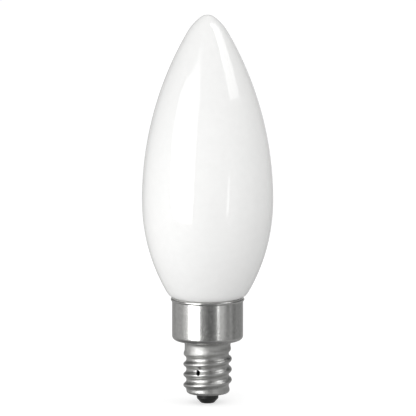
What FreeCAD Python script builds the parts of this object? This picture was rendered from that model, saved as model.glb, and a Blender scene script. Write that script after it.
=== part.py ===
import FreeCAD, Part
import math
import os
from FreeCAD import Vector

# A candle bulb on a small screw cap, standing on its centre contact.
# Millimetres, +Z up along the bulb's axis, origin at the middle of the contact's flat end.
# Every outline lies in the XZ half plane as (radius, height) and is turned about the axis.

# Glass
overall_height = 93.75
glass_radius = 15.74
belly_height = 49.2
nose_arc_radius = 12.4
tip_arc_radius = 2.8
tip_arc_angle = 52.6
throat_arc_radius = 3.6
seat_angle = 65.5
neck_radius = 6.75
neck_corner_radius = 1.0
exhaust_tip_radius = 2.3
exhaust_foot_radius = 1.5

# Cap, drawn from one sheet
sheet_thickness = 0.3
skirt_radius = 8.55
skirt_bottom_height = 15.35
skirt_corner_radius = 1.1
rim_height = 25.67
rim_bead_radius = 0.42
rim_bead_projection = 0.31
shoulder_fillet_radius = 1.2
cap_neck_radius = 5.52
cap_neck_straight_length = 0.15
cap_bottom_height = 2.37
cap_bottom_corner_radius = 0.7

# Rolled thread, one start, right-hand
thread_crest_radius = 5.9
thread_root_radius = 5.12
thread_pitch = 2.54
thread_crest_rounding = 0.4
thread_first_crest_drop = 0.75
thread_full_turns = 3.5
thread_lead_in_turns = 0.35
thread_run_out_turns = 0.75
thread_blend_length = 0.7

# Slot punched through the thread's root
slot_width = 0.85
slot_length = 1.2
slot_drop = 5.1
slot_direction = 244.8

# Insulator and centre contact
insulator_mouth_radius = 2.7
insulator_edge_radius = 2.6
insulator_edge_height = 1.15
insulator_edge_rounding = 0.35
insulator_tip_radius = 1.62
insulator_tip_height = 0.05
insulator_tip_rounding = 0.25
insulator_foot_rounding = 0.5
insulator_depth = 1.6
contact_head_radius = 1.0
contact_head_thickness = 0.3
contact_edge_rounding = 0.1
contact_shank_radius = 0.6
contact_shank_projection = 0.8

# Clearances between the pieces
seat_gap = 0.03
fit_gap = 0.04
neck_floor_gap = 0.8
exhaust_tip_gap = 2.1

# Fineness of the thread's surface
thread_columns = 32
thread_row_step = 0.2
thread_corner_rows = 6
join_tolerance = 0.0005

# Sizes that follow from the ones above
skirt_bore_radius = skirt_radius - sheet_thickness
bead_centre_radius = skirt_radius + rim_bead_projection - rim_bead_radius
bead_centre_height = rim_height - rim_bead_radius
thread_depth = thread_crest_radius - thread_root_radius
thread_top_height = skirt_bottom_height - shoulder_fillet_radius - cap_neck_straight_length
thread_first_crest_height = thread_top_height - thread_first_crest_drop
slot_height = thread_first_crest_height - slot_drop
corner_top_height = cap_bottom_height + cap_bottom_corner_radius
cap_floor_height = cap_bottom_height + sheet_thickness
insulator_top_height = cap_floor_height + insulator_depth
contact_top_height = insulator_top_height + contact_shank_projection
neck_bottom_height = skirt_bottom_height + sheet_thickness + neck_floor_gap
exhaust_tip_height = contact_top_height + exhaust_tip_gap


def line(start, end):
    return Part.makeLine(Vector(start[0], 0, start[1]), Vector(end[0], 0, end[1]))


def on_circle(centre, radius, angle):
    """The point of a circle at an angle in degrees, counted from +X towards +Z."""
    turn = math.radians(angle)
    return (centre[0] + radius * math.cos(turn), centre[1] + radius * math.sin(turn))


def arc(centre, radius, start_angle, end_angle):
    points = []
    for angle in (start_angle, (start_angle + end_angle) / 2, end_angle):
        point = on_circle(centre, radius, angle)
        points.append(Vector(point[0], 0, point[1]))
    return Part.Arc(*points).toShape()


def rounded_outline(corners):
    """Closed edges through corners given as (radius, height, rounding)."""
    places = [Vector(radius, 0, height) for radius, height, rounding in corners]
    pieces = []
    ends = []
    for index, corner in enumerate(places):
        rounding = corners[index][2]
        to_last = (places[index - 1] - corner).normalize()
        to_next = (places[(index + 1) % len(places)] - corner).normalize()
        half_angle = to_last.getAngle(to_next) / 2
        tangent = rounding / math.tan(half_angle)
        ends.append((corner + to_last * tangent, corner + to_next * tangent))
        inward = (to_last + to_next).normalize()
        pieces.append(corner + inward * (rounding / math.sin(half_angle) - rounding))
    edges = []
    for index, (enter, leave) in enumerate(ends):
        if corners[index][2] > 0:
            edges.append(Part.Arc(enter, pieces[index], leave).toShape())
        edges.append(Part.makeLine(leave, ends[(index + 1) % len(ends)][0]))
    return edges


def turned(edges):
    """The solid that a closed outline sweeps about the axis."""
    return Part.Face(Part.Wire(edges)).revolve(Vector(0, 0, 0), Vector(0, 0, 1), 360)


def cylinder(radius, bottom, top):
    return Part.makeCylinder(radius, top - bottom, Vector(0, 0, bottom))


def long_arc(inward, along, next_radius):
    """Radius and turn in degrees of the long arc that runs tangent into an arc of next_radius."""
    turn = 2 * math.atan2(inward, along)
    return next_radius + along / math.sin(turn), math.degrees(turn)


# The glass envelope: blown in one piece, with its neck sealed and drawn off in an exhaust tip.
# It is opal and closed, so it is one solid. Its side is five tangent arcs from the tip to the
# rim of the cap, where it touches the rolled bead, and one hollow arc below that to the neck.

def seat_on_bead():
    bead_centre = (bead_centre_radius, bead_centre_height)
    return on_circle(bead_centre, rim_bead_radius + seat_gap, 180 - seat_angle)


def throat_hollow_radius():
    return (seat_on_bead()[0] - neck_radius) / (1 - math.cos(math.radians(seat_angle)))


def neck_top_height():
    return seat_on_bead()[1] - throat_hollow_radius() * math.sin(math.radians(seat_angle))


def glass_side_above_belly():
    tip_cos = math.cos(math.radians(tip_arc_angle))
    tip_sin = math.sin(math.radians(tip_arc_angle))
    inward = glass_radius - nose_arc_radius * (1 - tip_cos) - tip_arc_radius * tip_cos
    along = (overall_height - belly_height - nose_arc_radius * tip_sin
             - tip_arc_radius * (1 - tip_sin))
    taper_radius, taper_turn = long_arc(inward, along, nose_arc_radius)
    taper_centre = (glass_radius - taper_radius, belly_height)
    nose_centre = on_circle(taper_centre, taper_radius - nose_arc_radius, taper_turn)
    tip_centre = (0, overall_height - tip_arc_radius)
    return [
        arc(tip_centre, tip_arc_radius, 90, tip_arc_angle),
        arc(nose_centre, nose_arc_radius, tip_arc_angle, taper_turn),
        arc(taper_centre, taper_radius, taper_turn, 0),
    ]


def glass_side_below_belly():
    seat = seat_on_bead()
    seat_cos = math.cos(math.radians(seat_angle))
    seat_sin = math.sin(math.radians(seat_angle))
    inward = glass_radius - seat[0] - throat_arc_radius * (1 - seat_cos)
    along = belly_height - seat[1] - throat_arc_radius * seat_sin
    belly_radius, belly_turn = long_arc(inward, along, throat_arc_radius)
    belly_centre = (glass_radius - belly_radius, belly_height)
    throat_centre = on_circle(belly_centre, belly_radius - throat_arc_radius, -belly_turn)
    hollow_radius = throat_hollow_radius()
    hollow_centre = on_circle(seat, hollow_radius, -seat_angle)
    return [
        arc(belly_centre, belly_radius, 0, -belly_turn),
        arc(throat_centre, throat_arc_radius, -belly_turn, -seat_angle),
        arc(hollow_centre, hollow_radius, 180 - seat_angle, 180),
    ]


def glass_foot():
    corner_centre = (neck_radius - neck_corner_radius, neck_bottom_height + neck_corner_radius)
    foot_centre = (exhaust_tip_radius + exhaust_foot_radius, neck_bottom_height - exhaust_foot_radius)
    end_centre = (0, exhaust_tip_height + exhaust_tip_radius)
    return [
        line((neck_radius, neck_top_height()), (neck_radius, corner_centre[1])),
        arc(corner_centre, neck_corner_radius, 0, -90),
        line((corner_centre[0], neck_bottom_height), (foot_centre[0], neck_bottom_height)),
        arc(foot_centre, exhaust_foot_radius, 90, 180),
        line((exhaust_tip_radius, foot_centre[1]), (exhaust_tip_radius, end_centre[1])),
        arc(end_centre, exhaust_tip_radius, 0, -90),
    ]


def glass_bulb():
    side = glass_side_above_belly() + glass_side_below_belly() + glass_foot()
    axis = line((0, exhaust_tip_height), (0, overall_height))
    return turned(side + [axis])


# The basing cement: a ring that fills the skirt around the neck and bonds the glass to the cap.

def basing_cement():
    bottom = neck_bottom_height + neck_corner_radius
    return cylinder(skirt_bore_radius, bottom, neck_top_height()).cut(
        cylinder(neck_radius, bottom, neck_top_height()))


# The cap: one thin sheet, drawn to a wide skirt and a narrow neck, with a rolled bead at the rim.
# The thread is rolled into the sheet, so it stands out inside as well as outside.

def smooth_step(value):
    value = min(max(value, 0), 1)
    return value * value * (3 - 2 * value)


def groove_share(fraction):
    """How far down the groove the wall is, from 0 at a crest to 1 at the root, half a pitch on.
    A crest arc and a wider root arc meet at the flank angle."""
    flank_angle = 2 * math.atan(2 * thread_depth / thread_pitch)
    root_rounding = thread_pitch / 2 / math.sin(flank_angle) - thread_crest_rounding
    from_crest = thread_pitch * min(fraction, 1 - fraction)
    if from_crest < thread_crest_rounding * math.sin(flank_angle):
        drop = thread_crest_rounding - math.sqrt(thread_crest_rounding ** 2 - from_crest ** 2)
    else:
        from_root = thread_pitch / 2 - from_crest
        drop = thread_depth - root_rounding + math.sqrt(root_rounding ** 2 - from_root ** 2)
    return drop / thread_depth


def thread_rise(turn, height):
    """How far the wall stands out from the thread's root, at a part of a turn from +X and a height.
    Each crest and each groove grows out of the plain neck and ends before the cap's bottom."""
    neck_rise = cap_neck_radius - thread_root_radius
    crests_above = (thread_first_crest_height - height) / thread_pitch + turn
    crest_turn = round(crests_above) - turn
    groove_turn = math.floor(crests_above) - turn
    crest_lead = smooth_step(1 + crest_turn / thread_lead_in_turns)
    groove_lead = smooth_step(1 + groove_turn / thread_lead_in_turns)
    crest_fade = smooth_step(1 - (crest_turn - thread_full_turns) / thread_run_out_turns)
    crest_rise = (neck_rise + (thread_depth - neck_rise) * crest_lead) * crest_fade
    groove_rise = neck_rise * (1 - groove_lead)
    share = groove_share(crests_above - math.floor(crests_above))
    rise = crest_rise + (groove_rise - crest_rise) * share
    top_blend = smooth_step((thread_top_height - height) / thread_blend_length)
    return neck_rise + (rise - neck_rise) * top_blend


def wall_column(turn, inset):
    """Points down the threaded wall at one part of a turn, round the corner to the flat bottom."""
    rows = math.ceil((thread_top_height - corner_top_height) / thread_row_step)
    corner_length = cap_bottom_corner_radius * math.pi / 2
    points = []
    for row in range(rows):
        height = thread_top_height + (corner_top_height - thread_top_height) * row / rows
        points.append((thread_root_radius - inset + thread_rise(turn, height), height))
    corner_centre = (thread_root_radius - cap_bottom_corner_radius, corner_top_height)
    for row in range(thread_corner_rows + 1):
        share = row / thread_corner_rows
        rise = thread_rise(turn, corner_top_height - corner_length * share)
        radius = cap_bottom_corner_radius - inset + rise * (1 - smooth_step(share))
        points.append(on_circle(corner_centre, radius, -90 * share))
    return points


def threaded_plug(inset):
    """The solid inside the threaded wall. Its side is one smooth surface, closed round the axis."""
    step = 2 * math.pi / thread_columns
    round_out = 3 / (2 + math.cos(step))
    poles = []
    for column in range(-1, thread_columns - 1):
        direction = Vector(math.cos(step * column), math.sin(step * column), 0)
        turn = column / thread_columns % 1
        poles.append([direction * (radius * round_out) + Vector(0, 0, height)
                      for radius, height in wall_column(turn, inset)])
    spans = len(poles[0]) - 3
    side = Part.BSplineSurface()
    side.buildFromPolesMultsKnots(
        poles, [1] * (thread_columns + 1), [4] + [1] * (spans - 1) + [4],
        list(range(thread_columns + 1)), list(range(spans + 1)), True, False, 3, 3)
    wall = side.toShape()
    faces = [wall]
    for edge in wall.Edges:
        if edge.isClosed() and edge.BoundBox.ZLength < sheet_thickness:
            faces.append(Part.Face(Part.Wire(edge)))
    plug = Part.Solid(Part.Shell(faces))
    plug.fix(join_tolerance, join_tolerance, join_tolerance)
    return plug


def skirt_plug(inset):
    """The solid inside the skirt, the shoulder and the plain neck, without the rim's bead."""
    wall = skirt_radius - inset
    floor = skirt_bottom_height + inset
    neck = cap_neck_radius - inset
    return turned(rounded_outline([
        (0, bead_centre_height, 0),
        (wall, bead_centre_height, 0),
        (wall, floor, skirt_corner_radius - inset),
        (neck, floor, shoulder_fillet_radius + inset),
        (neck, thread_top_height, 0),
        (0, thread_top_height, 0),
    ]))


def rim_bead():
    centre = Vector(bead_centre_radius, 0, bead_centre_height)
    section = Part.makeCircle(rim_bead_radius, centre, Vector(0, 1, 0))
    return Part.Face(Part.Wire(section)).revolve(Vector(0, 0, 0), Vector(0, 0, 1), 360)


def punched_slot():
    """The punch that cuts the slot: a prism with round ends, from the axis out through one wall."""
    half_width = slot_width / 2
    half_straight = slot_length / 2 - half_width
    upper = Vector(0, 0, slot_height + half_straight)
    lower = Vector(0, 0, slot_height - half_straight)
    left = Vector(0, -half_width, 0)
    right = Vector(0, half_width, 0)
    section = Part.Wire([
        Part.Arc(upper + left, upper + Vector(0, 0, half_width), upper + right).toShape(),
        Part.makeLine(upper + right, lower + right),
        Part.Arc(lower + right, lower - Vector(0, 0, half_width), lower + left).toShape(),
        Part.makeLine(lower + left, upper + left),
    ])
    slot = Part.Face(section).extrude(Vector(2 * thread_crest_radius, 0, 0))
    slot.rotate(Vector(0, 0, 0), Vector(0, 0, 1), slot_direction)
    return slot


def cap_shell():
    outside = skirt_plug(0).fuse(threaded_plug(0), join_tolerance)
    inside = skirt_plug(sheet_thickness).fuse(threaded_plug(sheet_thickness), join_tolerance)
    mouth = cylinder(insulator_mouth_radius + fit_gap, 0, cap_floor_height + sheet_thickness)
    shell = outside.cut(inside).cut(mouth).cut(punched_slot())
    return shell.fuse(rim_bead())


# The insulator: black glass poured into the bottom of the cap round the contact's shank. It bulges
# out of the cap's mouth as a shallow bowl with a cone below it.

def insulator():
    body_radius = thread_root_radius - sheet_thickness - fit_gap
    bore_radius = contact_shank_radius + fit_gap
    recess_radius = contact_head_radius + fit_gap
    return turned(rounded_outline([
        (bore_radius, insulator_top_height, 0),
        (body_radius, insulator_top_height, 0),
        (body_radius, cap_floor_height, insulator_foot_rounding),
        (insulator_mouth_radius, cap_floor_height, 0),
        (insulator_mouth_radius, cap_bottom_height, 0),
        (insulator_edge_radius, insulator_edge_height, insulator_edge_rounding),
        (insulator_tip_radius, insulator_tip_height, insulator_tip_rounding),
        (recess_radius, insulator_tip_height, 0),
        (recess_radius, contact_head_thickness, 0),
        (bore_radius, contact_head_thickness, 0),
    ]))


# The centre contact: a headed pin pressed up into the insulator, its flat head the bulb's end.

def centre_contact():
    return turned(rounded_outline([
        (0, 0, 0),
        (contact_head_radius, 0, contact_edge_rounding),
        (contact_head_radius, contact_head_thickness, 0),
        (contact_shank_radius, contact_head_thickness, 0),
        (contact_shank_radius, contact_top_height, 0),
        (0, contact_top_height, 0),
    ]))


pieces = {
    "glass_bulb": glass_bulb(),
    "basing_cement": basing_cement(),
    "cap_shell": cap_shell(),
    "insulator": insulator(),
    "centre_contact": centre_contact(),
}

os.makedirs("parts", exist_ok=True)
for name, solid in pieces.items():
    solid.exportStep("parts/" + name + ".step")
    print(name, solid.ShapeType, len(solid.Solids), solid.isValid(), round(solid.Volume, 2))
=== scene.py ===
import math

import bmesh
import bpy
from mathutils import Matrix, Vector


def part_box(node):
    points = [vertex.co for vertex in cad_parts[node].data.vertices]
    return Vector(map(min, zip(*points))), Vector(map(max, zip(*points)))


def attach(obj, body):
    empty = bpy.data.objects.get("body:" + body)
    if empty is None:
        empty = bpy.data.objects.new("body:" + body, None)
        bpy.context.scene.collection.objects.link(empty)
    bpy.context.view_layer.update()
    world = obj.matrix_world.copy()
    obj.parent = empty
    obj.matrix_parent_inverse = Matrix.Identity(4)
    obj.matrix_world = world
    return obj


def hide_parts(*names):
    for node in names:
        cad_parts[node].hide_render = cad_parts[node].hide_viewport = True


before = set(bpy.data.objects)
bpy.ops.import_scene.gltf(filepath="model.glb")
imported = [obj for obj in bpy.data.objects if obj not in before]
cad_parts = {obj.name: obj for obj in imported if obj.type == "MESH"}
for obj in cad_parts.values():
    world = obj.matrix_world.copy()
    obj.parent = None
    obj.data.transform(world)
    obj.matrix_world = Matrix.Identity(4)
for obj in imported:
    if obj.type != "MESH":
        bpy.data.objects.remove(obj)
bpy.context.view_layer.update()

# The glass envelope: one blown bulb of opal soda-lime glass, drawn to a point at the top.
# Its neck stands in the cap's skirt and ends in the tip where it was pumped out and sealed.
# Lengths are in millimetres and become metres only where a mesh is made.

MILLIMETRE = 0.001

glass_low, glass_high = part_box("glass_bulb")
overall_height = glass_high.z / MILLIMETRE
glass_radius = glass_high.x / MILLIMETRE
exhaust_tip_height = glass_low.z / MILLIMETRE
belly_height = 49.2
nose_arc_radius = 12.4
tip_arc_radius = 2.8
tip_arc_angle = 52.6
throat_arc_radius = 3.6
seat_angle = 65.5
neck_radius = 6.75
neck_bottom_height = 16.45
neck_corner_radius = 1.0
exhaust_tip_radius = 2.3
exhaust_foot_radius = 1.5
rim_bead_radius = 0.42
seat_gap = 0.03
merge_distance = 1e-7
sharp_angle = math.radians(40)

cap_low, cap_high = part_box("cap_shell")
rim_height = cap_high.z / MILLIMETRE
bead_centre_radius = cap_high.x / MILLIMETRE - rim_bead_radius
bead_centre_height = rim_height - rim_bead_radius


def on_circle(centre, radius, angle):
    """The point of a circle at an angle in degrees, counted from +X towards +Z."""
    turn = math.radians(angle)
    return (centre[0] + radius * math.cos(turn), centre[1] + radius * math.sin(turn))


def arc(centre, radius, start_angle, end_angle, step):
    """Points along an arc, about a step apart, with both of its ends."""
    length = math.radians(abs(end_angle - start_angle)) * radius
    parts = max(2, round(length / step))
    points = []
    for part in range(parts + 1):
        angle = start_angle + (end_angle - start_angle) * part / parts
        points.append(on_circle(centre, radius, angle))
    return points


def straight(start, end, step):
    """Points between two places, about a step apart, without its ends."""
    parts = max(1, round(math.dist(start, end) / step))
    points = []
    for part in range(1, parts):
        share = part / parts
        points.append((start[0] + (end[0] - start[0]) * share, start[1] + (end[1] - start[1]) * share))
    return points


def long_arc(inward, along, next_radius):
    """Radius and turn in degrees of the long arc that runs tangent into an arc of next_radius."""
    turn = 2 * math.atan2(inward, along)
    return next_radius + along / math.sin(turn), math.degrees(turn)


def glass_outline():
    """The side of the envelope, from its tip down to the sealed exhaust tip: arcs that run into
    each other, long ones over the taper and the belly and short ones at the tip and the throat."""
    step = 0.5
    tip_cos = math.cos(math.radians(tip_arc_angle))
    tip_sin = math.sin(math.radians(tip_arc_angle))
    inward = glass_radius - nose_arc_radius * (1 - tip_cos) - tip_arc_radius * tip_cos
    along = (overall_height - belly_height - nose_arc_radius * tip_sin
             - tip_arc_radius * (1 - tip_sin))
    taper_radius, taper_turn = long_arc(inward, along, nose_arc_radius)
    taper_centre = (glass_radius - taper_radius, belly_height)
    nose_centre = on_circle(taper_centre, taper_radius - nose_arc_radius, taper_turn)
    tip_centre = (0, overall_height - tip_arc_radius)
    points = arc(tip_centre, tip_arc_radius, 90, tip_arc_angle, step / 3)
    points += arc(nose_centre, nose_arc_radius, tip_arc_angle, taper_turn, step)[1:]
    points += arc(taper_centre, taper_radius, taper_turn, 0, step)[1:]

    bead_centre = (bead_centre_radius, bead_centre_height)
    seat = on_circle(bead_centre, rim_bead_radius + seat_gap, 180 - seat_angle)
    seat_cos = math.cos(math.radians(seat_angle))
    seat_sin = math.sin(math.radians(seat_angle))
    inward = glass_radius - seat[0] - throat_arc_radius * (1 - seat_cos)
    along = belly_height - seat[1] - throat_arc_radius * seat_sin
    belly_radius, belly_turn = long_arc(inward, along, throat_arc_radius)
    belly_centre = (glass_radius - belly_radius, belly_height)
    throat_centre = on_circle(belly_centre, belly_radius - throat_arc_radius, -belly_turn)
    hollow_radius = (seat[0] - neck_radius) / (1 - seat_cos)
    hollow_centre = on_circle(seat, hollow_radius, -seat_angle)
    points += arc(belly_centre, belly_radius, 0, -belly_turn, step)[1:]
    points += arc(throat_centre, throat_arc_radius, -belly_turn, -seat_angle, step)[1:]
    points += arc(hollow_centre, hollow_radius, 180 - seat_angle, 180, step)[1:]

    corner_centre = (neck_radius - neck_corner_radius, neck_bottom_height + neck_corner_radius)
    foot_centre = (exhaust_tip_radius + exhaust_foot_radius, neck_bottom_height - exhaust_foot_radius)
    end_centre = (0, exhaust_tip_height + exhaust_tip_radius)
    points += arc(corner_centre, neck_corner_radius, 0, -90, step)
    points += arc(foot_centre, exhaust_foot_radius, 90, 180, step)
    points += arc(end_centre, exhaust_tip_radius, 0, -90, step)
    return points


def turned_piece(name, columns, outline_at, closed_outline=False):
    """A piece round the bulb's axis. outline_at gives its (radius, height) points at a part of a
    turn, counted from +X towards +Y."""
    form = bmesh.new()
    rings = []
    for column in range(columns):
        turn = math.tau * column / columns
        direction = Vector((math.cos(turn), math.sin(turn), 0))
        ring = []
        for radius, height in outline_at(column / columns):
            ring.append(form.verts.new((direction * radius + Vector((0, 0, height))) * MILLIMETRE))
        rings.append(ring)
    rows = len(rings[0])
    for column in range(columns):
        here = rings[column]
        beside = rings[(column + 1) % columns]
        for row in range(rows if closed_outline else rows - 1):
            below = (row + 1) % rows
            form.faces.new((here[row], here[below], beside[below], beside[row]))
    return closed_piece(name, form)


def closed_piece(name, form):
    """A piece from a closed form, whose doubled points are joined and whose faces look outwards."""
    bmesh.ops.remove_doubles(form, verts=form.verts, dist=merge_distance)
    bmesh.ops.recalc_face_normals(form, faces=form.faces)
    return piece_from(name, form)


def piece_from(name, form):
    """An object made from a bmesh form, smooth all over but for its sharp edges."""
    mesh = bpy.data.meshes.new(name)
    form.to_mesh(mesh)
    form.free()
    mesh.shade_smooth()
    mesh.set_sharp_from_angle(angle=sharp_angle)
    piece = bpy.data.objects.new(name, mesh)
    bpy.context.scene.collection.objects.link(piece)
    return piece


def linear(hex_colour):
    """A colour written as sRGB hex, such as C0C0C0, turned to linear for the shaders."""
    channels = []
    for start in (0, 2, 4):
        value = int(hex_colour[start:start + 2], 16) / 255
        channels.append(value / 12.92 if value <= 0.04045 else ((value + 0.055) / 1.055) ** 2.4)
    return (*channels, 1)


def add_node(tree, kind, values={}, links={}, **settings):
    """Adds a node. Settings are its own, and values and links go to its inputs."""
    node = tree.nodes.new(kind)
    for setting, value in settings.items():
        setattr(node, setting, value)
    for socket, value in values.items():
        node.inputs[socket].default_value = value
    for socket, source in links.items():
        tree.links.new(source, node.inputs[socket])
    return node


def empty_material(name):
    """A material with only its output, and its node tree."""
    material = bpy.data.materials.new(name)
    material.use_nodes = True
    material.node_tree.nodes.clear()
    return material, material.node_tree


def opal_glass():
    """Blown opal glass: milky all through, with a fire-polished skin that shows sharp reflections.
    The milk in it is a little uneven, and the skin waves very slightly."""
    material, tree = empty_material("opal_glass_fire_polished")
    cloud_size = 1.6 * MILLIMETRE
    wave_size = 12.0 * MILLIMETRE
    wave_height = 0.003 * MILLIMETRE
    place = add_node(tree, "ShaderNodeTexCoord").outputs["Object"]
    cloud = add_node(tree, "ShaderNodeTexNoise", {"Scale": 1 / cloud_size, "Detail": 2},
                     {"Vector": place})
    milk = add_node(tree, "ShaderNodeValToRGB", links={"Fac": cloud.outputs["Fac"]})
    milk.color_ramp.elements[0].color = linear("F6F6F5")
    milk.color_ramp.elements[0].position = 0.3
    milk.color_ramp.elements[1].color = linear("F8F8F7")
    milk.color_ramp.elements[1].position = 0.7
    wave = add_node(tree, "ShaderNodeTexNoise", {"Scale": 1 / wave_size, "Detail": 1},
                    {"Vector": place})
    skin = add_node(tree, "ShaderNodeBump", {"Strength": 1, "Distance": wave_height},
                    {"Height": wave.outputs["Fac"]})
    shader = add_node(tree, "ShaderNodeBsdfPrincipled", {"Roughness": 0.03, "IOR": 1.52},
                      {"Base Color": milk.outputs["Color"], "Normal": skin.outputs["Normal"]})
    add_node(tree, "ShaderNodeOutputMaterial", links={"Surface": shader.outputs["BSDF"]})
    return material


glass_side = glass_outline()
glass = turned_piece("opal_envelope", columns=160, outline_at=lambda turn: glass_side)
glass.data.materials.append(opal_glass())
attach(glass, "root")
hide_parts("glass_bulb")


# The basing cement: a ring of baked mineral cement that bonds the neck of the glass to the skirt.
# It can't be seen from outside, and keeps its plain solid.

def baked_cement():
    """Baked marble-flour cement: matt, pale buff, with coarse grains and small pores."""
    material, tree = empty_material("basing_cement_baked")
    grain_size = 0.25 * MILLIMETRE
    grain_height = 0.03 * MILLIMETRE
    place = add_node(tree, "ShaderNodeTexCoord").outputs["Object"]
    grain = add_node(tree, "ShaderNodeTexNoise", {"Scale": 1 / grain_size, "Detail": 4},
                     {"Vector": place})
    tone = add_node(tree, "ShaderNodeValToRGB", links={"Fac": grain.outputs["Fac"]})
    tone.color_ramp.elements[0].color = linear("B5AA96")
    tone.color_ramp.elements[1].color = linear("DDD5C4")
    pores = add_node(tree, "ShaderNodeBump", {"Strength": 1, "Distance": grain_height},
                     {"Height": grain.outputs["Fac"]})
    shader = add_node(tree, "ShaderNodeBsdfPrincipled", {"Roughness": 0.9},
                      {"Base Color": tone.outputs["Color"], "Normal": pores.outputs["Normal"]})
    add_node(tree, "ShaderNodeOutputMaterial", links={"Surface": shader.outputs["BSDF"]})
    return material


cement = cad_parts["basing_cement"]
cement.data.materials.clear()
cement.data.materials.append(baked_cement())


# The cap: one thin sheet, drawn to a skirt and a neck, with a bead rolled at the rim, a thread
# rolled into the neck and a small slot punched through it, all nickel-plated afterwards.
# The thread's form is worked out from its height and its turn, as it is in the part's source.

sheet_thickness = 0.3
skirt_radius = 8.55
skirt_bottom_height = 15.35
skirt_corner_radius = 1.1
shoulder_fillet_radius = 1.2
cap_neck_radius = 5.52
cap_neck_straight_length = 0.15
cap_bottom_height = cap_low.z / MILLIMETRE
cap_bottom_corner_radius = 0.7
thread_crest_radius = 5.84
thread_root_radius = 5.12
thread_pitch = 2.54
thread_crest_rounding = 0.6
thread_first_crest_drop = 0.75
thread_full_turns = 3.5
thread_lead_in_turns = 0.35
first_crest_start = 0.6
first_crest_growth = 1.0
thread_run_out_turns = 0.75
thread_blend_length = 0.7
slot_width = 1.0
slot_length = 1.3
slot_drop = 5.2
slot_direction = 245.2
slot_lean = 0.35
insulator_mouth_radius = 2.7
fit_gap = 0.04

thread_depth = thread_crest_radius - thread_root_radius
thread_top_height = skirt_bottom_height - shoulder_fillet_radius - cap_neck_straight_length
thread_first_crest_height = thread_top_height - thread_first_crest_drop
slot_height = thread_first_crest_height - slot_drop
corner_top_height = cap_bottom_height + cap_bottom_corner_radius
cap_floor_height = cap_bottom_height + sheet_thickness


def smooth_step(value):
    """A smooth rise from 0 to 1 as the value goes from 0 to 1, level at both ends."""
    value = min(max(value, 0), 1)
    return value * value * (3 - 2 * value)


def groove_share(fraction):
    """How far down the groove the wall is, from 0 at a crest to 1 at the root, half a pitch on."""
    flank_angle = 2 * math.atan(2 * thread_depth / thread_pitch)
    root_rounding = thread_pitch / 2 / math.sin(flank_angle) - thread_crest_rounding
    from_crest = thread_pitch * min(fraction, 1 - fraction)
    if from_crest < thread_crest_rounding * math.sin(flank_angle):
        drop = thread_crest_rounding - math.sqrt(thread_crest_rounding ** 2 - from_crest ** 2)
    else:
        from_root = thread_pitch / 2 - from_crest
        drop = thread_depth - root_rounding + math.sqrt(root_rounding ** 2 - from_root ** 2)
    return drop / thread_depth


def thread_rise(turn, height):
    """How far the wall stands out from the thread's root, at a part of a turn from +X and a height."""
    neck_rise = cap_neck_radius - thread_root_radius
    crests_above = (thread_first_crest_height - height) / thread_pitch + turn
    crest_turn = round(crests_above) - turn
    groove_turn = math.floor(crests_above) - turn
    crest_lead = smooth_step((crest_turn + first_crest_start) / (first_crest_start + first_crest_growth))
    groove_lead = smooth_step(1 + groove_turn / thread_lead_in_turns)
    crest_fade = smooth_step(1 - (crest_turn - thread_full_turns) / thread_run_out_turns)
    crest_rise = (neck_rise + (thread_depth - neck_rise) * crest_lead) * crest_fade
    groove_rise = neck_rise * (1 - groove_lead)
    share = groove_share(crests_above - math.floor(crests_above))
    rise = crest_rise + (groove_rise - crest_rise) * share
    top_blend = smooth_step((thread_top_height - height) / thread_blend_length)
    return neck_rise + (rise - neck_rise) * top_blend


def cap_wall(turn, inset, step):
    """One face of the sheet, from the bottom of the skirt's wall down to the flat round the mouth."""
    wall = skirt_radius - inset
    floor = skirt_bottom_height + inset
    corner = skirt_corner_radius - inset
    fillet = shoulder_fillet_radius + inset
    neck = cap_neck_radius - inset
    points = arc((wall - corner, floor + corner), corner, 0, -90, step)
    points += straight((wall - corner, floor), (neck + fillet, floor), step)
    points += arc((neck + fillet, floor - fillet), fillet, 90, 180, step)
    rows = math.ceil((thread_top_height - corner_top_height) / step)
    for row in range(rows):
        height = thread_top_height + (corner_top_height - thread_top_height) * row / rows
        points.append((thread_root_radius - inset + thread_rise(turn, height), height))
    corner_centre = (thread_root_radius - cap_bottom_corner_radius, corner_top_height)
    corner_length = cap_bottom_corner_radius * math.pi / 2
    corner_rows = math.ceil(corner_length / step)
    for row in range(corner_rows + 1):
        share = row / corner_rows
        rise = thread_rise(turn, corner_top_height - corner_length * share)
        radius = cap_bottom_corner_radius - inset + rise * (1 - smooth_step(share))
        points.append(on_circle(corner_centre, radius, -90 * share))
    return points


def cap_outline(turn):
    """The sheet's closed section: over the bead, down the outside, in at the mouth, up the inside."""
    outside_step = 0.08
    inside_step = 0.3
    skirt_step = 0.5
    bead_centre = (bead_centre_radius, bead_centre_height)
    bead_foot_angle = math.degrees(math.acos((skirt_radius - bead_centre_radius) / rim_bead_radius))
    bead = arc(bead_centre, rim_bead_radius, 180, -bead_foot_angle, outside_step / 2)
    skirt_foot = (skirt_radius, skirt_bottom_height + skirt_corner_radius)
    skirt = straight(bead[-1], skirt_foot, skirt_step)
    mouth = insulator_mouth_radius + fit_gap
    lip = [(mouth, cap_bottom_height), (mouth, cap_floor_height)]
    inside = cap_wall(turn, sheet_thickness, inside_step)
    inside.reverse()
    return bead + skirt + cap_wall(turn, 0, outside_step) + lip + inside


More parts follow.
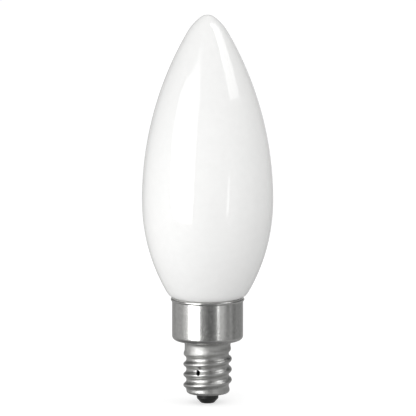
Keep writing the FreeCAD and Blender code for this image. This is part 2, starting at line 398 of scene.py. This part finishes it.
def slot_punch():
    """The tool that cuts the slot: a prism with round ends, lying across the wall."""
    step = 0.08
    inner_reach = 2
    outer_reach = 1
    half_straight = (slot_length - slot_width) / 2
    section = arc((0, half_straight), slot_width / 2, 0, 180, step)
    section += arc((0, -half_straight), slot_width / 2, 180, 360, step)
    direction = math.radians(slot_direction)
    outward = Vector((math.cos(direction), math.sin(direction), 0))
    sideways = Vector((-math.sin(direction), math.cos(direction), 0))
    form = bmesh.new()
    ends = []
    for radius in (thread_root_radius - inner_reach, thread_crest_radius + outer_reach):
        end = []
        for across, up in section:
            place = outward * radius + sideways * (across - slot_lean * up)
            place += Vector((0, 0, slot_height + up))
            end.append(form.verts.new(place * MILLIMETRE))
        ends.append(end)
    for end in ends:
        form.faces.new(end)
    for corner in range(len(section)):
        beside = (corner + 1) % len(section)
        form.faces.new((ends[0][corner], ends[0][beside], ends[1][beside], ends[1][corner]))
    return closed_piece("slot_punch", form)


def punched(piece, punch):
    """Cuts the punch out of the piece, and takes the punch away."""
    cut = piece.modifiers.new("slot", "BOOLEAN")
    cut.object = punch
    cut.operation = "DIFFERENCE"
    cut.solver = "EXACT"
    bpy.context.view_layer.update()
    finished = piece.evaluated_get(bpy.context.evaluated_depsgraph_get())
    mesh = bpy.data.meshes.new_from_object(finished)
    piece.modifiers.clear()
    piece.data = mesh
    mesh.set_sharp_from_angle(angle=sharp_angle)
    bpy.data.objects.remove(punch)


def nickel_plate():
    """Bright nickel on a drawn sheet: neutral grey, with soft streaks along the draw and a faint
    mottle from the sheet's grain, so its reflections are clear but a little smeared. The skirt is
    the brightest. The neck is dulled by its draw, and the rolled thread below it less so. Real
    draw lines are finer than these streaks, which are drawn coarse enough to show."""
    material, tree = empty_material("nickel_plate_on_drawn_sheet")
    streak_width = 0.35 * MILLIMETRE
    streak_stretch = 0.05
    mottle_size = 0.8 * MILLIMETRE
    relief = 0.0012 * MILLIMETRE
    drawn_haze = 0.19
    neck_haze = 0.52
    rolled_haze = 0.38
    least_haze_share = 0.7
    most_haze_share = 1.3
    thread_grain = 0.06
    skirt_margin = 0.5
    skirt_blend = 1.0 * MILLIMETRE
    first_crest_margin = 1.8
    neck_blend = 0.8 * MILLIMETRE
    place = add_node(tree, "ShaderNodeTexCoord").outputs["Object"]
    along = add_node(tree, "ShaderNodeMapping", {"Scale": (1, 1, streak_stretch)}, {"Vector": place})
    streak = add_node(tree, "ShaderNodeTexNoise", {"Scale": 1 / streak_width, "Detail": 3},
                      {"Vector": along.outputs["Vector"]})
    mottle = add_node(tree, "ShaderNodeTexNoise",
                      {"Scale": 1 / mottle_size, "Detail": 4, "Roughness": 0.6}, {"Vector": place})
    both = add_node(tree, "ShaderNodeMath",
                    links={0: streak.outputs["Fac"], 1: mottle.outputs["Fac"]}, operation="ADD")
    tone = add_node(tree, "ShaderNodeValToRGB", links={"Fac": mottle.outputs["Fac"]})
    tone.color_ramp.elements[0].color = linear("CBCBC9")
    tone.color_ramp.elements[0].position = 0.3
    tone.color_ramp.elements[1].color = linear("DADAD8")
    tone.color_ramp.elements[1].position = 0.7
    height = add_node(tree, "ShaderNodeSeparateXYZ", links={"Vector": place}).outputs["Z"]
    neck_top = (skirt_bottom_height + skirt_margin) * MILLIMETRE
    neck_foot = (thread_first_crest_height - first_crest_margin) * MILLIMETRE
    rolled = add_node(tree, "ShaderNodeMapRange",
                      {"From Min": neck_foot, "From Max": neck_foot + neck_blend,
                       "To Min": rolled_haze, "To Max": neck_haze},
                      {"Value": height})
    drawn = add_node(tree, "ShaderNodeMapRange",
                     {"From Min": neck_top - skirt_blend, "From Max": neck_top, "To Max": drawn_haze},
                     {"Value": height, "To Min": rolled.outputs["Result"]})
    uneven = add_node(tree, "ShaderNodeMapRange",
                      {"From Min": least_haze_share, "From Max": most_haze_share,
                       "To Min": least_haze_share, "To Max": most_haze_share},
                      {"Value": both.outputs["Value"]})
    haze = add_node(tree, "ShaderNodeMath",
                    links={0: drawn.outputs["Result"], 1: uneven.outputs["Result"]},
                    operation="MULTIPLY")
    grained = add_node(tree, "ShaderNodeMapRange",
                       {"From Min": neck_top - skirt_blend, "From Max": neck_top,
                        "To Min": thread_grain, "To Max": 1},
                       {"Value": height})
    skin = add_node(tree, "ShaderNodeBump", {"Distance": relief},
                    {"Strength": grained.outputs["Result"], "Height": both.outputs["Value"]})
    shader = add_node(tree, "ShaderNodeBsdfPrincipled", {"Metallic": 1},
                      {"Base Color": tone.outputs["Color"], "Roughness": haze.outputs["Value"],
                       "Normal": skin.outputs["Normal"]})
    add_node(tree, "ShaderNodeOutputMaterial", links={"Surface": shader.outputs["BSDF"]})
    return material


cap = turned_piece("drawn_cap", columns=256, outline_at=cap_outline, closed_outline=True)
punched(cap, slot_punch())
cap.data.materials.clear()
cap.data.materials.append(nickel_plate())
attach(cap, "root")
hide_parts("cap_shell")


# The insulator: black glass poured into the bottom of the cap round the contact's shank.
# It fills the cap behind the mouth and bulges out of it as a shallow bowl with a cone below.

insulator_edge_radius = 2.6
insulator_edge_height = 1.15
insulator_edge_rounding = 0.35
insulator_tip_radius = 1.62
insulator_tip_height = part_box("insulator")[0].z / MILLIMETRE
insulator_tip_rounding = 0.25
insulator_foot_rounding = 0.5
insulator_top_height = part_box("insulator")[1].z / MILLIMETRE
contact_head_radius = 1.0
contact_head_thickness = 0.3
contact_shank_radius = 0.6


def rounded_outline(corners, step):
    """Points round a closed section with corners given as (radius, height, rounding)."""
    places = [Vector((radius, height)) for radius, height, rounding in corners]
    points = []
    for index, corner in enumerate(places):
        rounding = corners[index][2]
        to_last = (places[index - 1] - corner).normalized()
        to_next = (places[(index + 1) % len(places)] - corner).normalized()
        half_angle = to_last.angle(to_next) / 2
        tangent = rounding / math.tan(half_angle)
        enter = corner + to_last * tangent
        centre = corner + (to_last + to_next).normalized() * (rounding / math.sin(half_angle))
        swept = (math.pi - 2 * half_angle) * (1 if to_last.angle_signed(to_next) > 0 else -1)
        parts = math.ceil(rounding * abs(swept) / step)
        points.append(tuple(enter))
        for part in range(1, parts + 1):
            turn = swept * part / parts
            offset = enter - centre
            points.append((centre.x + offset.x * math.cos(turn) - offset.y * math.sin(turn),
                           centre.y + offset.x * math.sin(turn) + offset.y * math.cos(turn)))
    return points


def insulator_outline():
    """The closed section of the insulator, from the shank out over its top, down and back in."""
    step = 0.05
    body_radius = thread_root_radius - sheet_thickness - fit_gap
    bore_radius = contact_shank_radius + fit_gap
    recess_radius = contact_head_radius + fit_gap
    return rounded_outline([
        (bore_radius, insulator_top_height, 0),
        (body_radius, insulator_top_height, 0),
        (body_radius, cap_floor_height, insulator_foot_rounding),
        (insulator_mouth_radius, cap_floor_height, 0),
        (insulator_mouth_radius, cap_bottom_height, 0),
        (insulator_edge_radius, insulator_edge_height, insulator_edge_rounding),
        (insulator_tip_radius, insulator_tip_height, insulator_tip_rounding),
        (recess_radius, insulator_tip_height, 0),
        (recess_radius, contact_head_thickness, 0),
        (bore_radius, contact_head_thickness, 0),
    ], step)


def black_glass():
    """Poured black glass: near black, with a dull shine and a soft ripple in its skin and tone."""
    material, tree = empty_material("black_glass_poured")
    ripple_size = 0.9 * MILLIMETRE
    ripple_height = 0.02 * MILLIMETRE
    place = add_node(tree, "ShaderNodeTexCoord").outputs["Object"]
    ripple = add_node(tree, "ShaderNodeTexNoise", {"Scale": 1 / ripple_size, "Detail": 3},
                      {"Vector": place})
    tone = add_node(tree, "ShaderNodeValToRGB", links={"Fac": ripple.outputs["Fac"]})
    tone.color_ramp.elements[0].color = linear("1A1A1A")
    tone.color_ramp.elements[1].color = linear("2A2A2A")
    skin = add_node(tree, "ShaderNodeBump", {"Strength": 1, "Distance": ripple_height},
                    {"Height": ripple.outputs["Fac"]})
    shader = add_node(tree, "ShaderNodeBsdfPrincipled", {"Roughness": 0.32, "IOR": 1.5},
                      {"Base Color": tone.outputs["Color"], "Normal": skin.outputs["Normal"]})
    add_node(tree, "ShaderNodeOutputMaterial", links={"Surface": shader.outputs["BSDF"]})
    return material


insulator_side = insulator_outline()
insulator = turned_piece("black_insulator", columns=128, outline_at=lambda turn: insulator_side,
                         closed_outline=True)
insulator.data.materials.append(black_glass())
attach(insulator, "root")
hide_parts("insulator")


# The centre contact: a headed brass pin pressed up into the insulator.
# Its flat head is the bulb's end and touches the holder's spring.

contact_edge_rounding = 0.1
contact_top_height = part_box("centre_contact")[1].z / MILLIMETRE


def contact_outline():
    """The pin from the middle of its flat head, round the head's edge and up the shank."""
    step = 0.03
    edge_centre = (contact_head_radius - contact_edge_rounding, contact_edge_rounding)
    points = [(0, 0)]
    points += arc(edge_centre, contact_edge_rounding, -90, 0, step)
    points += [(contact_head_radius, contact_head_thickness),
               (contact_shank_radius, contact_head_thickness),
               (contact_shank_radius, contact_top_height),
               (0, contact_top_height)]
    return points


def pressed_brass():
    """Pressed brass: warm yellow, dulled a little, with fine scratches from the press."""
    material, tree = empty_material("brass_pressed")
    scratch_width = 0.05 * MILLIMETRE
    scratch_stretch = 0.08
    least_haze = 0.25
    most_haze = 0.45
    place = add_node(tree, "ShaderNodeTexCoord").outputs["Object"]
    along = add_node(tree, "ShaderNodeMapping", {"Scale": (scratch_stretch, 1, 1)}, {"Vector": place})
    scratch = add_node(tree, "ShaderNodeTexNoise", {"Scale": 1 / scratch_width, "Detail": 2},
                       {"Vector": along.outputs["Vector"]})
    tone = add_node(tree, "ShaderNodeValToRGB", links={"Fac": scratch.outputs["Fac"]})
    tone.color_ramp.elements[0].color = linear("C4A867")
    tone.color_ramp.elements[1].color = linear("E0C685")
    haze = add_node(tree, "ShaderNodeMapRange", {"To Min": least_haze, "To Max": most_haze},
                    {"Value": scratch.outputs["Fac"]})
    shader = add_node(tree, "ShaderNodeBsdfPrincipled", {"Metallic": 1},
                      {"Base Color": tone.outputs["Color"], "Roughness": haze.outputs["Result"]})
    add_node(tree, "ShaderNodeOutputMaterial", links={"Surface": shader.outputs["BSDF"]})
    return material


contact_side = contact_outline()
contact = turned_piece("contact_pin", columns=96, outline_at=lambda turn: contact_side)
contact.data.materials.append(pressed_brass())
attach(contact, "root")
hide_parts("centre_contact")


# The floor and the white surroundings: a wide white sheet that the bulb stands on, and a white room.
# Both show as white to the camera and in the reflections, and the floor keeps the bulb's shadow.

def seen_directly(tree):
    """1 for rays from the camera, off gloss or through glass, and 0 for the light's own rays."""
    path = add_node(tree, "ShaderNodeLightPath")
    camera_or_gloss = add_node(tree, "ShaderNodeMath",
                               links={0: path.outputs["Is Camera Ray"],
                                      1: path.outputs["Is Glossy Ray"]},
                               operation="MAXIMUM")
    any_of_them = add_node(tree, "ShaderNodeMath",
                           links={0: camera_or_gloss.outputs["Value"],
                                  1: path.outputs["Is Transmission Ray"]},
                           operation="MAXIMUM")
    return any_of_them.outputs["Value"]


def white_floor():
    """White paper: matt, lifted to white where it is seen, with a painted pool of light near the
    soft box, a glow in the paper itself that throws light up on the left of the bulb."""
    material, tree = empty_material("white_paper_floor")
    white_lift = 0.58
    pool_middle = Vector((-75, -45, 0)) * MILLIMETRE
    pool_core = 20 * MILLIMETRE
    pool_edge = 65 * MILLIMETRE
    pool_strength = 1.5
    place = add_node(tree, "ShaderNodeTexCoord").outputs["Object"]
    paper = add_node(tree, "ShaderNodeBsdfDiffuse", {"Color": linear("C6C6C6")})
    lift = add_node(tree, "ShaderNodeMath", {1: white_lift}, {0: seen_directly(tree)},
                    operation="MULTIPLY")
    # The painted pool of light: a glow added to the paper, brightest at its middle and gone by its edge.
    from_pool = add_node(tree, "ShaderNodeVectorMath", {1: pool_middle}, {0: place},
                         operation="DISTANCE")
    pool = add_node(tree, "ShaderNodeMapRange",
                    {"From Min": pool_core, "From Max": pool_edge, "To Min": pool_strength, "To Max": 0},
                    {"Value": from_pool.outputs["Value"]}, interpolation_type="SMOOTHSTEP")
    light = add_node(tree, "ShaderNodeMath",
                     links={0: lift.outputs["Value"], 1: pool.outputs["Result"]}, operation="ADD")
    glow = add_node(tree, "ShaderNodeEmission", links={"Strength": light.outputs["Value"]})
    sheet = add_node(tree, "ShaderNodeAddShader",
                     links={0: paper.outputs["BSDF"], 1: glow.outputs["Emission"]})
    add_node(tree, "ShaderNodeOutputMaterial", links={"Surface": sheet.outputs["Shader"]})
    return material


floor_reach = 4000
floor_form = bmesh.new()
bmesh.ops.create_grid(floor_form, x_segments=1, y_segments=1, size=floor_reach * MILLIMETRE)
floor = piece_from("paper_floor", floor_form)
floor.data.materials.append(white_floor())
floor.visible_glossy = False

room_light = 0.775
world = bpy.data.worlds.new("white_room")
bpy.context.scene.world = world
world.use_nodes = True
room = world.node_tree
room.nodes.clear()
room_strength = add_node(room, "ShaderNodeMapRange", {"To Min": room_light, "To Max": 1},
                         {"Value": seen_directly(room)})
room_white = add_node(room, "ShaderNodeBackground", {"Color": (1, 1, 1, 1)},
                      {"Strength": room_strength.outputs["Result"]})
add_node(room, "ShaderNodeOutputWorld", links={"Surface": room_white.outputs["Background"]})


# The studio cards: what the gloss of the glass and the cap reflects. Each is a bent or flat sheet
# that only reflections see. Directions are in degrees from the front, more than 0 to the left.

wall_distance = 740
screen_distance = 735
soft_box_distance = 700
ceiling_height = 900
ceiling_reach = 760
table_height = -60
above_right_height = 215
above_right_core_height = 212


def card_glow(name, along, strength, far_strength):
    """A card's glow, which changes evenly along X or Z from strength to far_strength."""
    material, tree = empty_material(name)
    place = add_node(tree, "ShaderNodeTexCoord").outputs["Generated"]
    parts = add_node(tree, "ShaderNodeSeparateXYZ", links={"Vector": place})
    level = add_node(tree, "ShaderNodeMapRange", {"To Min": strength, "To Max": far_strength},
                     {"Value": parts.outputs[along]})
    glow = add_node(tree, "ShaderNodeEmission", links={"Strength": level.outputs["Result"]})
    add_node(tree, "ShaderNodeOutputMaterial", links={"Surface": glow.outputs["Emission"]})
    return material


def reflection_only(card, material):
    """Gives a card its glow and hides it from all but the reflections."""
    card.data.materials.append(material)
    card.visible_camera = False
    card.visible_diffuse = False
    card.visible_shadow = False
    card.visible_transmission = False
    card.visible_volume_scatter = False


def bent_card(name, distance, rows):
    """A card bent round the bulb. Each row gives a height and the card's two directions there."""
    fewest_columns = 4
    column_angle = 4
    columns = max(fewest_columns, math.ceil(abs(rows[0][1] - rows[0][2]) / column_angle))
    form = bmesh.new()
    grid = []
    for height, left, right in rows:
        line = []
        for column in range(columns + 1):
            direction = math.radians(left + (right - left) * column / columns)
            place = Vector((-math.sin(direction) * distance, -math.cos(direction) * distance, height))
            line.append(form.verts.new(place * MILLIMETRE))
        grid.append(line)
    for lower, upper in zip(grid, grid[1:]):
        for column in range(columns):
            form.faces.new((lower[column], lower[column + 1], upper[column + 1], upper[column]))
    return piece_from(name, form)


def level_card(name, height, corners):
    """A flat, level card at a height, with its corners as they lie from above."""
    form = bmesh.new()
    form.faces.new([form.verts.new(Vector((x, y, height)) * MILLIMETRE) for x, y in corners])
    return piece_from(name, form)


def walls_glow():
    """The studio's walls, darkest behind the camera and higher up. Each stop is a direction and the
    brightness there."""
    material, tree = empty_material("studio_walls_glow")
    fall_foot = 60 * MILLIMETRE
    fall_top = 400 * MILLIMETRE
    share_above = 0.12
    stops = [(-180, 0.9), (-168, 0.6), (-160, 0.42), (-143, 0.29), (-109, 0.3), (-94, 0.21),
             (-81, 0.4), (-68, 0.26), (-54, 0.52), (-51, 0.68), (-40, 0.68), (-30, 0.44),
             (-24, 0.25), (-14, 0.14), (0, 0.17), (13, 0.32), (20, 0.42), (72, 0.86), (78, 0.78),
             (88, 0.48), (104, 0.46), (121, 0.45), (143, 0.27), (160, 0.34), (168, 0.5), (180, 0.85)]
    place = add_node(tree, "ShaderNodeTexCoord").outputs["Object"]
    parts = add_node(tree, "ShaderNodeSeparateXYZ", links={"Vector": place})
    left = add_node(tree, "ShaderNodeMath", {1: -1}, {0: parts.outputs["X"]}, operation="MULTIPLY")
    front = add_node(tree, "ShaderNodeMath", {1: -1}, {0: parts.outputs["Y"]}, operation="MULTIPLY")
    turn = add_node(tree, "ShaderNodeMath",
                    links={0: left.outputs["Value"], 1: front.outputs["Value"]}, operation="ARCTAN2")
    share = add_node(tree, "ShaderNodeMapRange", {"From Min": -math.pi, "From Max": math.pi},
                     {"Value": turn.outputs["Value"]})
    level = add_node(tree, "ShaderNodeValToRGB", links={"Fac": share.outputs["Result"]})
    while len(level.color_ramp.elements) < len(stops):
        level.color_ramp.elements.new(0.5)
    for element, (direction, brightness) in zip(level.color_ramp.elements, stops):
        element.position = (direction + 180) / 360
        element.color = (brightness, brightness, brightness, 1)
    fall = add_node(tree, "ShaderNodeMapRange",
                    {"From Min": fall_foot, "From Max": fall_top, "To Min": 1, "To Max": share_above},
                    {"Value": parts.outputs["Z"]})
    glow = add_node(tree, "ShaderNodeEmission",
                    links={"Color": level.outputs["Color"], "Strength": fall.outputs["Result"]})
    add_node(tree, "ShaderNodeOutputMaterial", links={"Surface": glow.outputs["Emission"]})
    return material


def table_glow():
    """The table below the bulb: a pool of light from the soft box, and dark to the left of the cap."""
    material, tree = empty_material("table_below_glow")
    pool_middle = Vector((-165, -115, table_height)) * MILLIMETRE
    pool_core = 20 * MILLIMETRE
    pool_edge = 160 * MILLIMETRE
    pool_strength = 0.8
    table_strength = 0.4
    shade_middle = Vector((-60, -50, table_height)) * MILLIMETRE
    shade_core = 60 * MILLIMETRE
    shade_edge = 200 * MILLIMETRE
    shaded_share = 0.42
    open_share = 0.98
    place = add_node(tree, "ShaderNodeTexCoord").outputs["Object"]
    from_pool = add_node(tree, "ShaderNodeVectorMath", {1: pool_middle}, {0: place},
                         operation="DISTANCE")
    pool = add_node(tree, "ShaderNodeMapRange",
                    {"From Min": pool_core, "From Max": pool_edge,
                     "To Min": pool_strength, "To Max": table_strength},
                    {"Value": from_pool.outputs["Value"]}, interpolation_type="SMOOTHSTEP")
    from_shade = add_node(tree, "ShaderNodeVectorMath", {1: shade_middle}, {0: place},
                          operation="DISTANCE")
    shade = add_node(tree, "ShaderNodeMapRange",
                     {"From Min": shade_core, "From Max": shade_edge,
                      "To Min": shaded_share, "To Max": open_share},
                     {"Value": from_shade.outputs["Value"]})
    level = add_node(tree, "ShaderNodeMath",
                     links={0: pool.outputs["Result"], 1: shade.outputs["Result"]}, operation="MULTIPLY")
    glow = add_node(tree, "ShaderNodeEmission", links={"Strength": level.outputs["Value"]})
    add_node(tree, "ShaderNodeOutputMaterial", links={"Surface": glow.outputs["Emission"]})
    return material


reflection_only(bent_card("studio_walls", wall_distance, [(-700, 180, -180), (900, 180, -180)]),
                walls_glow())
reflection_only(level_card("studio_ceiling", ceiling_height, [
    (-ceiling_reach, -ceiling_reach), (ceiling_reach, -ceiling_reach),
    (ceiling_reach, ceiling_reach), (-ceiling_reach, ceiling_reach),
]), card_glow("studio_ceiling_glow", along="X", strength=0.15, far_strength=0.1))
reflection_only(level_card("table_below", table_height, [
    (-350, -210), (260, -210), (260, 540), (-350, 540),
]), table_glow())
reflection_only(bent_card("screen_in_front", screen_distance, [(10, 22, -26), (400, 20, -28)]),
                card_glow("screen_in_front_glow", along="Z", strength=0.5, far_strength=0.3))
reflection_only(bent_card("soft_box_left", soft_box_distance, [
    (-162, 40, 28), (-134, 54, 27.5), (-94, 63, 27), (-24, 66, 25), (90, 67.5, 23.5), (231, 73, 22),
    (387, 74, 20.5), (504, 66, 20), (596, 50, 21), (700, 42, 26), (860, 36, 30),
]), card_glow("soft_box_left_glow", along="Z", strength=4.5, far_strength=1.2))
reflection_only(bent_card("strip_right", soft_box_distance, [(-99, -32, -36), (92, -36, -40)]),
                card_glow("strip_right_glow", along="Z", strength=3.5, far_strength=2.4))
reflection_only(level_card("soft_box_above_right", above_right_height, [
    (25, -16), (249, -168), (363, -35), (111, 45),
]), card_glow("soft_box_above_right_glow", along="X", strength=3.2, far_strength=2.2))
reflection_only(level_card("soft_box_above_right_core", above_right_core_height, [
    (25, -16), (160, -108), (195, -85), (45, -8),
]), card_glow("soft_box_above_right_core_glow", along="X", strength=6.0, far_strength=3.0))


# The lamps: a large soft key on the left and a weaker fill on the right, as in a product studio.
# Neither shows in the gloss of the glass and the cap, where the cards stand in for them.

def lamp(name, direction, rise, distance, size, power):
    """A square lamp aimed at the middle of the bulb, from a direction and an angle of rise."""
    middle = Vector((0, 0, overall_height / 2))
    turn = math.radians(direction)
    lift = math.radians(rise)
    towards = Vector((-math.sin(turn) * math.cos(lift), -math.cos(turn) * math.cos(lift),
                      math.sin(lift)))
    light = bpy.data.lights.new(name, "AREA")
    light.size = size * MILLIMETRE
    light.energy = power
    holder = bpy.data.objects.new(name, light)
    holder.location = (middle + towards * distance) * MILLIMETRE
    holder.rotation_euler = (-towards).to_track_quat("-Z", "Y").to_euler()
    holder.visible_glossy = False
    holder.visible_camera = False
    bpy.context.scene.collection.objects.link(holder)


lamp("key_left", direction=25, rise=14, distance=600, size=400, power=1.18)
lamp("fill_right", direction=-74, rise=25, distance=700, size=500, power=0.7)


# The camera: a metre in front of the bulb and a little above it, aimed at the bulb's middle.
# Its long lens gives little perspective, as in the photograph.

camera_distance = 1000.0
camera_height = 180.0
camera_side = 0.1
aim_height = 47.3
sensor_width = 36.0
lens_length = 364.3
camera = bpy.data.objects.new("camera", bpy.data.cameras.new("camera"))
camera.location = Vector((camera_side, -camera_distance, camera_height)) * MILLIMETRE
camera.rotation_euler = (math.pi / 2 - math.atan2(camera_height - aim_height, camera_distance), 0, 0)
camera.data.sensor_width = sensor_width
camera.data.lens = lens_length
bpy.context.scene.collection.objects.link(camera)
bpy.context.scene.camera = camera
bpy.context.scene.view_settings.view_transform = "Standard"
